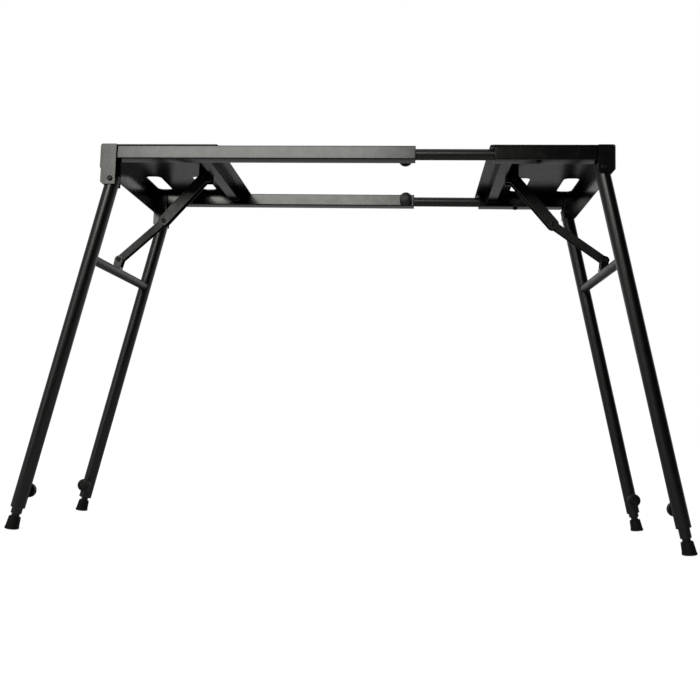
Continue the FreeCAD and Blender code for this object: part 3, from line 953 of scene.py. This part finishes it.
@dataclass(frozen=True)
class LegBolts(SideAssembly):
    """The button-head bolts that the legs turn on, with their hexagon nuts."""

    head: float = 0.0050
    head_height: float = 0.0030
    crown_share: float = 0.62
    edge_share: float = 0.22
    crown_steps: int = 6
    shank: float = 0.0030
    socket: float = 0.0024
    socket_depth: float = 0.0017
    socket_chamfer: float = 0.0002
    rim_share: float = 1.18
    nut_corner: float = 0.00577
    nut_flat: float = 0.0050
    nut_flat_share: float = 0.97
    nut_height: float = 0.0050
    nut_edge: float = 0.0001
    chamfer: float = 0.0006
    shank_end_shares: tuple[Span, ...] = ((1.12, 0.0), (1.02, 1.5), (0.98, 0.4), (0.80, 0.0))
    bolt_turned: float = 17.0
    nut_turned: float = 24.0
    sides: int = 48
    flats: int = 6

    def build(self) -> None:
        """Make this side's two bolts and nuts."""
        node = self.node("pivot_bolts")
        low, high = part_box(node)
        pivot = self.stand.pivot(self.node("leg_fold"))
        reach = abs(self.stand.middle(self.node("inner_tube", End.FRONT)).y)
        cheek = (high.y - low.y) / 2 - self.head_height - reach
        bolt = self.bolt_pattern(cheek * 2)
        nut = self.nut_pattern()
        for end in End:
            inwards = end.inwards
            leg = Vector((pivot.x, -inwards.y * reach, pivot.z))
            screw = ("leg_bolt", bolt, leg - inwards * cheek, self.bolt_turned)
            holder = ("leg_nut", nut, leg + inwards * cheek, self.nut_turned)
            for name, pattern, place, turned in (screw, holder):
                piece = twin(pattern, self.node(name, end))
                set_down(piece, place, inwards, turned * inwards.y)
                self.stand.finish_piece(piece, BLACK_OXIDE, node)
        scrap(bolt)
        scrap(nut)

    def bolt_pattern(self, grip: float) -> Piece:
        """Make a bolt with its head below the bench's zero and its shank above.

        Args:
            grip: The length between head and nut.

        Returns:
            The pattern bolt.
        """
        top = -self.head_height
        crown = Ring(self.head * self.crown_share, top)
        edge = Ring(self.head, top * self.edge_share)
        rings = [Ring(self.socket, top + self.socket_depth), Ring(self.socket, top + self.socket_chamfer)]
        rings += [Ring(self.socket * self.rim_share, top, True), crown]
        rings += curve_out(crown, edge, self.crown_steps, Sweep.RADIUS)
        rings += [Ring(self.head, 0.0), Ring(self.shank, 0.0), Ring(self.shank, grip)]
        piece = turn("bolt_pattern", rings, self.sides, self.flats)
        smooth(piece)
        return piece

    def nut_pattern(self) -> Piece:
        """Make a nut with the bolt's end in it, seated on the bench's zero.

        Returns:
            The pattern nut.
        """
        top = self.nut_height
        rings = [Ring(self.nut_corner, 0.0), Ring(self.nut_corner, top - self.chamfer)]
        rings.append(Ring(self.nut_flat * self.nut_flat_share, top, True))
        rings += [Ring(self.shank * out, top - self.chamfer * deep) for out, deep in self.shank_end_shares]
        piece = turn("nut_pattern", rings, self.sides, self.flats)
        ease(piece, self.nut_edge, 1)
        smooth(piece)
        return piece


@dataclass(frozen=True)
class ClampKnobs:
    """The domed clamp knobs: ribbed rim, hub and screw in one turned piece."""

    stand: Stand
    radius: float = 0.0130
    height: float = 0.0110
    edge: float = 0.0030
    under_edge: float = 0.0015
    hub: float = 0.0075
    hub_height: float = 0.0030
    screw: float = 0.0030
    tip: float = 0.00075
    cap: float = 0.0078
    cap_sink: float = 0.0005
    centre_share: float = 0.08
    crown: float = 0.0007
    groove: float = 0.0003
    rib_gap: float = 0.00018
    rib_depth: float = 0.00030
    rim_share: float = 0.99
    rim_lean: float = 0.1
    turned: float = 7.0
    digits: int = 6
    sides: int = 72
    base_steps: int = 4
    brow_steps: int = 6

    def build(self) -> None:
        """Make all the clamp knobs."""
        lengths: dict[float, Piece] = {}
        for joint in sorted(name for name in self.stand.joints if name.endswith("knob_turn")):
            node = self.node_of(joint)
            inwards = self.stand.axis(joint)
            low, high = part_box(node)
            tip, face = (low.y, high.y) if inwards.y > 0 else (high.y, low.y)
            screw_length = round(abs(face - tip) - self.height - self.hub_height, self.digits)
            if screw_length not in lengths:
                lengths[screw_length] = self.pattern(screw_length)
            piece = twin(lengths[screw_length], f"{node}_moulded")
            pivot = self.stand.pivot(joint)
            set_down(piece, Vector((pivot.x, tip, pivot.z)), inwards, self.turned * len(node))
            self.stand.finish_piece(piece, MOULDED_PLASTIC, node)
        for pattern in lengths.values():
            scrap(pattern)

    def node_of(self, joint: str) -> str:
        """The knob's node that a joint turns."""
        child = self.stand.joints[joint]["child"]
        return next(name for name in sorted(self.stand.nodes) if self.stand.body(name) == child)

    def pattern(self, screw_length: float) -> Piece:
        """Turn one knob, from the screw's tip to the cap.

        Args:
            screw_length: How much of the screw is below the hub.

        Returns:
            The pattern knob.
        """
        under = screw_length + self.hub_height
        top = under + self.height
        seam = top - self.crown / 2
        rings = [Ring(self.screw - self.tip, 0.0), Ring(self.screw, self.tip)]
        rings += [Ring(self.screw, screw_length), Ring(self.hub - self.groove, screw_length)]
        rings += [Ring(self.hub, screw_length + self.groove), Ring(self.hub, under)]
        base = Ring(self.radius - self.under_edge, under)
        waist = Ring(self.radius, under + self.under_edge)
        rings += [base, *curve_out(base, waist, self.base_steps, Sweep.RADIUS)]
        shoulder = Ring(self.radius, top - self.edge)
        brow = Ring(self.radius - self.edge, top - self.crown)
        rings += [shoulder, *curve_out(shoulder, brow, self.brow_steps, Sweep.HEIGHT)]
        rings += [Ring(self.cap, seam), Ring(self.cap - self.groove, seam - self.cap_sink)]
        rim = Ring(self.cap - self.groove * 2, seam)
        centre = Ring(self.cap * self.centre_share, top)
        rings += [rim, *curve_out(rim, centre, self.brow_steps, Sweep.HEIGHT)]
        piece = turn("knob_pattern", rings, self.sides)
        rim_reach = self.radius * self.rim_share
        with Workbench(piece) as bench:
            bench.faces(lambda at, normal: at.xy.length > rim_reach and abs(normal.z) < self.rim_lean)
            bpy.ops.mesh.inset(thickness=self.rib_gap, depth=-self.rib_depth, use_individual=True)
        smooth(piece)
        return piece


@dataclass(frozen=True)
class Feet(SideAssembly):
    """The flared rubber feet, with a rounded shoulder and a rim round the sole."""

    height: float = 0.0235
    top: float = 0.01075
    bottom: float = 0.01275
    shoulder: float = 0.0022
    shoulder_step: float = 0.00018
    shoulder_steps: int = 6
    waist_shares: Span = (0.35, 0.55)
    neck: float = 0.00710
    collar: float = 0.0006
    rim_height: float = 0.0038
    rim_step: float = 0.0006
    sole_edge: float = 0.0020
    sole_edge_steps: int = 4
    tilt_share: float = 0.55
    sink: float = 0.0002
    tread_edge: float = 0.0022
    tread_depth: float = 0.0009
    side_lean: float = 0.6
    level: float = 0.99
    edge: float = 0.0002
    sides: int = 64

    def build(self) -> None:
        """Make this side's two feet."""
        down = self.stand.axis(self.node("front_leg_slide"))
        pattern = self.pattern(-self.height / down.z)
        for end in End:
            node = self.node("foot", end)
            leg = self.stand.middle(self.node("inner_tube", end))
            piece = twin(pattern, f"{node}_moulded")
            set_down(piece, leg + down * ((self.height - leg.z) / down.z), down)
            self.sole(piece, leg - down * (leg.z / down.z), down)
            self.stand.finish_piece(piece, FOOT_RUBBER, node)
        scrap(pattern)

    def pattern(self, length: float) -> Piece:
        """Turn one foot, from its collar to well past the floor.

        Args:
            length: From the top of the foot to the floor, along the leg.

        Returns:
            The pattern foot.
        """
        flare = (self.bottom - self.top) / length
        inner = self.bottom - self.rim_step
        start = Ring(self.top - self.shoulder, 0.0)
        side = Ring(self.top - self.shoulder_step, self.shoulder)
        narrowed, along = self.waist_shares
        rings = [Ring(self.neck, self.collar), Ring(self.neck + self.collar, 0.0), start]
        rings += curve_out(start, side, self.shoulder_steps, Sweep.RADIUS)
        rings += [Ring(inner - flare * length * narrowed, length * along), Ring(inner, length)]
        rings.append(Ring(inner + flare * self.bottom, length + self.bottom))
        return turn("foot_pattern", rings, self.sides)

    def sole(self, piece: Piece, middle: Vector, down: Vector) -> None:
        """Step the foot's rim, cut its sole, round the sole's edge and sink its tread.

        The sole lies between level and square to the leg, and stands on its inner edge.

        Args:
            piece: A foot in its place, which still reaches below the floor.
            middle: Where the leg's axis meets the floor.
            down: The leg's direction.
        """
        upright = UP.lerp(-down, self.tilt_share).normalized()
        inner = Vector((-down.x, 0.0, 0.0)).normalized()
        edge = middle + inner * self.bottom - UP * self.sink

        def height(point: Vector) -> float:
            """How far a point is above the sole."""
            return (point - edge).dot(upright)

        with Workbench(piece) as bench:
            bpy.ops.mesh.bisect(plane_co=edge + upright * self.rim_height, plane_no=upright)
            bench.faces(lambda at, normal: height(at) < self.rim_height and abs(normal.z) < self.side_lean)
            bpy.ops.mesh.extrude_region_shrink_fatten(TRANSFORM_OT_shrink_fatten={"value": self.rim_step})
            bpy.ops.mesh.select_all(action="SELECT")
            bpy.ops.mesh.bisect(plane_co=edge, plane_no=upright, use_fill=True, clear_inner=True)
            bench.edges(lambda one, other: max(height(one), height(other)) < MERGE)
            bpy.ops.mesh.bevel(offset=self.sole_edge, segments=self.sole_edge_steps, affect="EDGES")
            bench.faces(lambda at, normal: height(at) < MERGE and -normal.dot(upright) > self.level)
            bpy.ops.mesh.inset(thickness=self.tread_edge)
            bpy.ops.mesh.extrude_region_move(TRANSFORM_OT_translate={"value": upright * self.tread_depth})
            bpy.ops.mesh.select_all(action="SELECT")
            bpy.ops.mesh.normals_make_consistent(inside=False)
        ease(piece, self.edge, 1)


@dataclass(frozen=True)
class SlideTubes:
    """The round tubes between the two units, and the screws that hold them."""

    stand: Stand
    tube_edge: float = 0.0004
    head: float = 0.0055
    head_height: float = 0.0033
    crown_share: float = 0.45
    side_share: float = 0.6
    crown_steps: int = 6
    shank: float = 0.0025
    tip_share: float = 0.75
    tip_parts: float = 3.0
    recess: float = 0.0030
    recess_width: float = 0.0009
    recess_depth: float = 0.0016
    recess_taper: Triple = (0.5, 0.5, 1.0)
    level: float = 0.9
    turned: Span = (31.0, 68.0)
    sides: int = 48

    def build(self) -> None:
        """Make the tubes and their screws."""
        for end in End:
            self.stand.work_up(f"{end.value}_slide_tube", "drawn", self.tube_edge, DRAWN_TUBE)
        node = "tube_screws"
        low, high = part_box(node)
        middle = self.stand.middle(node)
        pattern = self.screw_pattern(high.z - low.z)
        for end, y, turned in zip(End, (low.y + self.head, high.y - self.head), self.turned):
            piece = twin(pattern, f"{end.value}_tube_screw")
            set_down(piece, Vector((middle.x, y, low.z)), UP, turned)
            self.stand.finish_piece(piece, BLACK_OXIDE, node)
        scrap(pattern)

    def screw_pattern(self, length: float) -> Piece:
        """Turn a pan-head screw, head down, and cut its cross recess.

        Args:
            length: The whole screw's length.

        Returns:
            The pattern screw.
        """
        top = Ring(self.head * self.crown_share, 0.0)
        side = Ring(self.head, self.head_height * self.side_share)
        rings = [top, *curve_out(top, side, self.crown_steps, Sweep.RADIUS)]
        rings += [Ring(self.head, self.head_height), Ring(self.shank, self.head_height)]
        rings.append(Ring(self.shank, length - self.shank / self.tip_parts))
        rings.append(Ring(self.shank * self.tip_share, length))
        piece = turn("screw_pattern", rings, self.sides)
        for turned in (0.0, math.pi / 2):
            put_down_all()
            bpy.ops.mesh.primitive_cube_add(size=1.0, rotation=(0.0, 0.0, turned))
            cutter = bpy.context.object
            cutter.scale = (self.recess * 2, self.recess_width, self.recess_depth * 2)
            keep_place(cutter)
            with Workbench(cutter) as bench:
                bench.faces(lambda at, normal: normal.z > self.level)
                bpy.ops.transform.resize(value=self.recess_taper, center_override=(0.0, 0.0, 0.0))
            pick_up(piece)
            cut = piece.modifiers.new("cross_recess", "BOOLEAN")
            cut.object = cutter
            cut.operation = "DIFFERENCE"
            bpy.ops.object.modifier_apply(modifier=cut.name)
            scrap(cutter)
        smooth(piece)
        return piece


@dataclass(frozen=True)
class Camera:
    """The photograph's viewpoint."""

    place: Triple = (0.11170, -1.53973, 0.20803)
    yaw: float = -0.0742
    pitch: float = 0.0917
    roll: float = 0.0277
    lens: float = 40.394
    sensor: float = 36.0
    nearest: float = 0.01

    def build(self) -> None:
        """Set up the scene's camera."""
        forward = math.cos(self.pitch)
        ahead = Vector((math.sin(self.yaw) * forward, math.cos(self.yaw) * forward, math.sin(self.pitch)))
        level = Vector((math.cos(self.yaw), -math.sin(self.yaw), 0.0))
        upright = level.cross(ahead)
        right = level * math.cos(self.roll) + upright * math.sin(self.roll)
        top = upright * math.cos(self.roll) - level * math.sin(self.roll)
        camera = bpy.data.cameras.new("viewpoint")
        camera.lens = self.lens
        camera.sensor_width = self.sensor
        camera.clip_start = self.nearest
        holder = put_in_scene("viewpoint", camera)
        turned = Matrix((right, top, -ahead)).transposed().to_4x4()
        holder.matrix_world = Matrix.Translation(self.place) @ turned
        bpy.context.scene.camera = holder


@dataclass(frozen=True)
class Softbox:
    """A rectangular lamp."""

    name: str
    place: Triple
    aim: Triple
    width: float
    height: float
    brightness: float
    tint: Colour = WHITE

    def build(self) -> None:
        """Hang the lamp."""
        lamp = bpy.data.lights.new(self.name, "AREA")
        lamp.shape = "RECTANGLE"
        lamp.size = self.width
        lamp.size_y = self.height
        lamp.energy = self.brightness * math.pi * self.width * self.height
        lamp.color = self.tint
        direction = Vector(self.aim) - Vector(self.place)
        turned = direction.to_track_quat("-Z", "Y").to_matrix().to_4x4()
        put_in_scene(self.name, lamp).matrix_world = Matrix.Translation(self.place) @ turned


@dataclass(frozen=True)
class Studio:
    """A white floor that starts before the camera's view, a pale surround and soft lamps."""

    floor_width: float = 14.0
    floor_front: float = -1.0
    floor_back: float = 9.0
    floor_deep: Colour = (0.50, 0.50, 0.50)
    floor_pale: Colour = (0.52, 0.52, 0.52)
    cloud_size: float = 0.4
    cloud_detail: float = 2.0
    lift_reach: Span = (1.0, 3.2)
    camera_lift: Span = (0.86, 1.0)
    gloss_lift: Span = (0.0, 0.27)
    full_white: float = 1.0
    ambient: float = 0.18
    behind_span: Span = (0.05, 0.75)
    behind_glow: Span = (0.0, 0.7)
    left_span: Span = (-0.25, -0.75)
    left_glow: Span = (0.0, 0.25)
    glow_all_round: float = 0.008
    lamps: tuple[Softbox, ...] = (
        Softbox(
            name="key_box",
            place=(-0.70, -2.60, 1.65),
            aim=(-0.70, 0.0, 1.65),
            width=1.60,
            height=1.20,
            brightness=5.0,
            tint=WARM_WHITE,
        ),
        Softbox(
            name="low_left_box",
            place=(-2.15, -2.40, 0.75),
            aim=(-0.5, 0.0, 0.5),
            width=0.90,
            height=0.90,
            brightness=1.2,
            tint=WARM_WHITE,
        ),
        Softbox(
            name="overhead_box",
            place=(0.0, 0.4, 3.2),
            aim=(0.0, 0.0, 0.0),
            width=3.2,
            height=2.4,
            brightness=0.45,
        ),
    )

    def build(self) -> None:
        """Set up the floor, the surround, the lamps and the view settings."""
        bpy.context.scene.view_settings.view_transform = "Standard"
        for lamp in self.lamps:
            lamp.build()
        self.floor()
        self.surround()

    def floor(self) -> None:
        """Lay the floor: white paper that also shows white to the camera and in gloss."""
        put_down_all()
        middle = (self.floor_front + self.floor_back) / 2
        bpy.ops.mesh.primitive_plane_add(size=1.0, location=(0.0, middle, 0.0))
        floor = bpy.context.object
        floor.name = "studio_floor"
        floor.scale = (self.floor_width, self.floor_back - self.floor_front, 1.0)
        keep_place(floor)
        material = bpy.data.materials.new("white_paper")
        floor.data.materials.append(material)
        recipe = Recipe(material)
        cloud = recipe.noise(self.cloud_size, self.cloud_detail)
        paper = recipe.node("BsdfDiffuse", {"Color": recipe.tint(cloud, self.floor_deep, self.floor_pale)})
        glow = recipe.node("Emission", {"Strength": self.floor_glow(recipe)})
        both = recipe.node("AddShader", {0: paper.outputs["BSDF"], 1: glow.outputs["Emission"]})
        recipe.node("OutputMaterial", {"Surface": both.outputs["Shader"]})

    def floor_glow(self, recipe: Recipe) -> Socket:
        """How much the floor is lifted: to full white far off, and less near the stand, where shadows lie.

        Args:
            recipe: The floor's material.

        Returns:
            The socket of the strength.
        """
        length = recipe.node("VectorMath", {0: recipe.coordinates["Object"]}, operation="LENGTH")
        distance = length.outputs["Value"]
        seen, passed_on = recipe.rays()
        lift = recipe.spread(distance, self.lift_reach, self.camera_lift, soft=True)
        gloss = recipe.spread(distance, self.lift_reach, self.gloss_lift, soft=True)
        in_view = recipe.combine("MULTIPLY", seen, lift)
        return recipe.combine("ADD", in_view, recipe.combine("MULTIPLY", passed_on, gloss))

    def surround(self) -> None:
        """White to the camera; in gloss pale behind the stand and at its left, and dark elsewhere."""
        world = bpy.data.worlds.new("studio_surround")
        bpy.context.scene.world = world
        recipe = Recipe(world)
        seen, passed_on = recipe.rays()
        behind = recipe.spread(recipe.along("Y", "Generated"), self.behind_span, self.behind_glow, soft=True)
        left = recipe.spread(recipe.along("X", "Generated"), self.left_span, self.left_glow, soft=True)
        gloss = recipe.combine("MAXIMUM", recipe.combine("MAXIMUM", behind, left), self.glow_all_round)
        strength = recipe.blend(seen, recipe.blend(passed_on, self.ambient, gloss), self.full_white)
        background = recipe.node("Background", {"Color": (*WHITE, 1.0), "Strength": strength})
        recipe.node("OutputWorld", {"Surface": background.outputs["Background"]})


def main() -> None:
    """Load the frame, build the looks round it and set up the studio."""
    logging.basicConfig(level=logging.INFO, format="%(name)s: %(message)s")
    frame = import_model()
    joints = {joint["name"]: joint for joint in frame["joints"]}
    stand = Stand(nodes=frame["nodes"], joints=joints)
    Camera().build()
    Studio().build()
    for side in Side:
        for assembly in (EndUnit, LegFrame, Brace, LegBolts, Feet):
            assembly(stand, side).build()
    SlideTubes(stand).build()
    ClampKnobs(stand).build()
    put_down_all()


if __name__ == "__main__":
    main()
